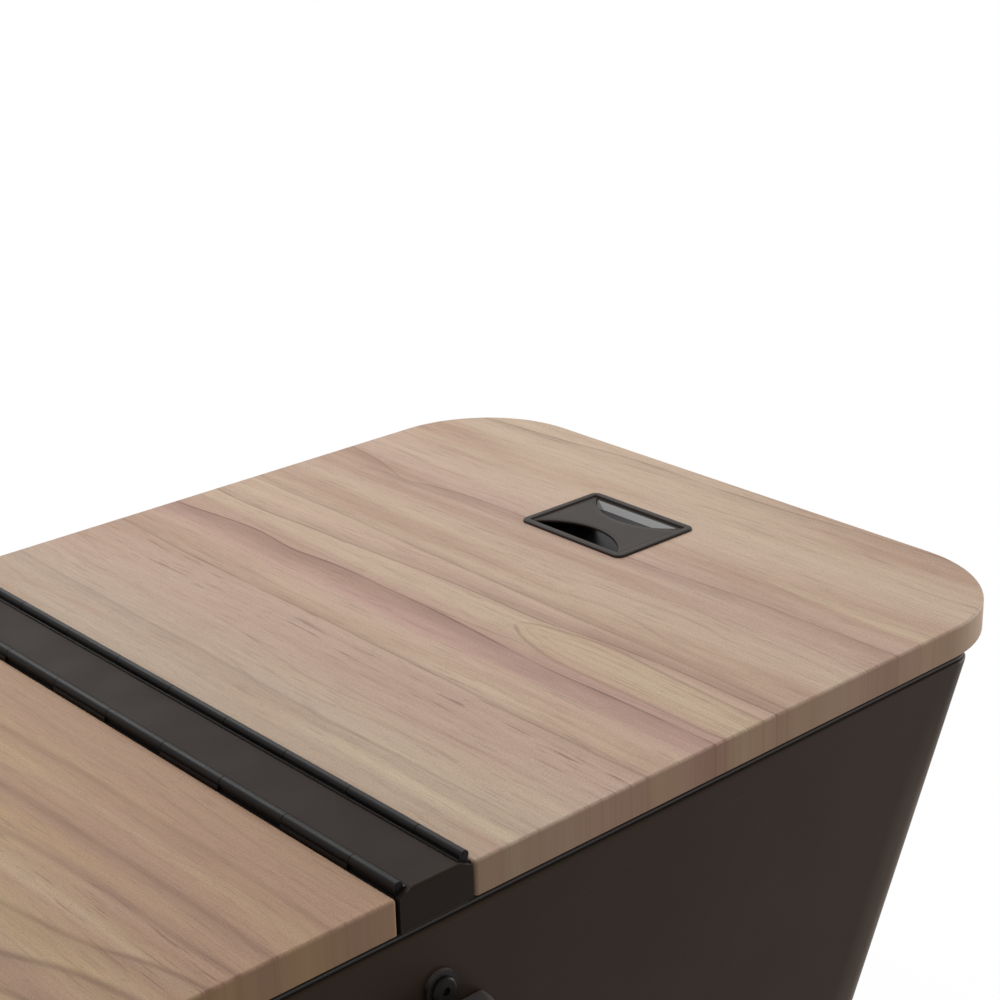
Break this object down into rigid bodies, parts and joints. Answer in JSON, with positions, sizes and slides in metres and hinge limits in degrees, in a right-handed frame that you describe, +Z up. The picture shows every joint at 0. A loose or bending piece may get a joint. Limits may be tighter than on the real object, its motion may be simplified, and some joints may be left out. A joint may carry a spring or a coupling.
{
  "type": "rolling cooler cart",
  "caption": "Insulated patio cooler cart with tapered steel tub, hinged wood-look lids on a central spine, bottle opener, splayed legs, slatted lower shelf and swivel casters.",
  "frame": {"origin": "on the floor, under the middle of the tub", "axes": "+X along the cart to the right lid, -Y out of the front where the opener is, +Z up"},
  "size_m": [0.898, 0.5153, 0.8359],
  "materials": {
    "wood_film": "satin",
    "powder_coat": "satin",
    "hinge_black": "gloss",
    "gloss_black": "gloss",
    "liner_plastic": "matte",
    "cap_plastic": "matte",
    "foam": "matte",
    "seal": "matte",
    "tyre": "matte",
    "hub_plastic": "matte",
    "zinc_steel": "satin",
    "pedal_steel": "satin",
    "opener_metal": "satin"
  },
  "bodies": {
    "cart": {"tub_wrap": "powder_coat", "tub_floor": "powder_coat", "insulation": "foam", "liner": "liner_plastic", "rim_frame": "powder_coat", "spine_beam": "powder_coat", "spine_cover": "powder_coat", "hinge_leaf_spine_left": "hinge_black", "hinge_leaf_spine_right": "hinge_black", "hinge_pin_left": "hinge_black", "hinge_pin_right": "hinge_black", "bottle_opener": "opener_metal", "opener_screws": "hinge_black", "catcher_screws": "hinge_black", "drain_fitting": "liner_plastic", "drain_nut": "liner_plastic", "end_handle_left": "powder_coat", "end_handle_right": "powder_coat", "end_frame_left": "powder_coat", "end_frame_right": "powder_coat", "shelf_rail_front": "powder_coat", "shelf_rail_rear": "powder_coat", "lower_shelf": "powder_coat", "frame_bolts": "zinc_steel", "tub_bolts": "zinc_steel", "caster_stem_front_left": "zinc_steel", "caster_stem_front_right": "zinc_steel", "caster_stem_rear_left": "zinc_steel", "caster_stem_rear_right": "zinc_steel"},
    "left_lid": {"lid_board_left": "wood_film", "lid_tray_left": "liner_plastic", "lid_gasket_left": "seal", "pull_left": "gloss_black", "hinge_leaf_lid_left": "hinge_black"},
    "right_lid": {"lid_board_right": "wood_film", "lid_tray_right": "liner_plastic", "lid_gasket_right": "seal", "pull_right": "gloss_black", "hinge_leaf_lid_right": "hinge_black"},
    "catcher": {"cap_catcher": "powder_coat"},
    "plug": {"drain_cap": "cap_plastic"},
    "swivel_front_left": {"fork_front_left": "zinc_steel", "axle_front_left": "zinc_steel"},
    "wheel_front_left": {"hub_front_left": "hub_plastic", "tyre_front_left": "tyre"},
    "brake_front_left": {"brake_pedal_front_left": "pedal_steel"},
    "swivel_front_right": {"fork_front_right": "zinc_steel", "axle_front_right": "zinc_steel"},
    "wheel_front_right": {"hub_front_right": "hub_plastic", "tyre_front_right": "tyre"},
    "brake_front_right": {"brake_pedal_front_right": "pedal_steel"},
    "swivel_rear_left": {"fork_rear_left": "zinc_steel", "axle_rear_left": "zinc_steel"},
    "wheel_rear_left": {"hub_rear_left": "hub_plastic", "tyre_rear_left": "tyre"},
    "swivel_rear_right": {"fork_rear_right": "zinc_steel", "axle_rear_right": "zinc_steel"},
    "wheel_rear_right": {"hub_rear_right": "hub_plastic", "tyre_rear_right": "tyre"}
  },
  "joints": [
    {"name": "left_lid_hinge", "type": "hinge", "parent": "cart", "child": "left_lid", "pos_m": [-0.019, 0, 0.8332], "axis": [0, 1, 0], "range_deg": [0, 92]},
    {"name": "right_lid_hinge", "type": "hinge", "parent": "cart", "child": "right_lid", "pos_m": [0.019, 0, 0.8332], "axis": [0, -1, 0], "range_deg": [0, 92]},
    {"name": "catcher_lift", "type": "slide", "parent": "cart", "child": "catcher", "axis": [0, 0, 1], "range_m": [0, 0.012]},
    {"name": "drain_cap_turn", "type": "hinge", "parent": "cart", "child": "plug", "pos_m": [0.11, 0.12, 0.45], "axis": [0, 0, -1], "range_deg": [0, 720]},
    {"name": "swivel_front_left", "type": "hinge", "parent": "cart", "child": "swivel_front_left", "pos_m": [-0.32, -0.2, 0.09], "axis": [0, 0, 1], "continuous": true},
    {"name": "roll_front_left", "type": "hinge", "parent": "swivel_front_left", "child": "wheel_front_left", "pos_m": [-0.346, -0.2, 0.038], "axis": [0, 1, 0], "continuous": true},
    {"name": "brake_front_left", "type": "hinge", "parent": "swivel_front_left", "child": "brake_front_left", "pos_m": [-0.364, -0.2, 0.08], "axis": [0, -1, 0], "range_deg": [0, 12]},
    {"name": "swivel_front_right", "type": "hinge", "parent": "cart", "child": "swivel_front_right", "pos_m": [0.32, -0.2, 0.09], "axis": [0, 0, 1], "continuous": true},
    {"name": "roll_front_right", "type": "hinge", "parent": "swivel_front_right", "child": "wheel_front_right", "pos_m": [0.294, -0.2, 0.038], "axis": [0, 1, 0], "continuous": true},
    {"name": "brake_front_right", "type": "hinge", "parent": "swivel_front_right", "child": "brake_front_right", "pos_m": [0.276, -0.2, 0.08], "axis": [0, -1, 0], "range_deg": [0, 12]},
    {"name": "swivel_rear_left", "type": "hinge", "parent": "cart", "child": "swivel_rear_left", "pos_m": [-0.32, 0.2, 0.09], "axis": [0, 0, 1], "continuous": true},
    {"name": "roll_rear_left", "type": "hinge", "parent": "swivel_rear_left", "child": "wheel_rear_left", "pos_m": [-0.346, 0.2, 0.038], "axis": [0, 1, 0], "continuous": true},
    {"name": "swivel_rear_right", "type": "hinge", "parent": "cart", "child": "swivel_rear_right", "pos_m": [0.32, 0.2, 0.09], "axis": [0, 0, 1], "continuous": true},
    {"name": "roll_rear_right", "type": "hinge", "parent": "swivel_rear_right", "child": "wheel_rear_right", "pos_m": [0.294, 0.2, 0.038], "axis": [0, 1, 0], "continuous": true}
  ]
}
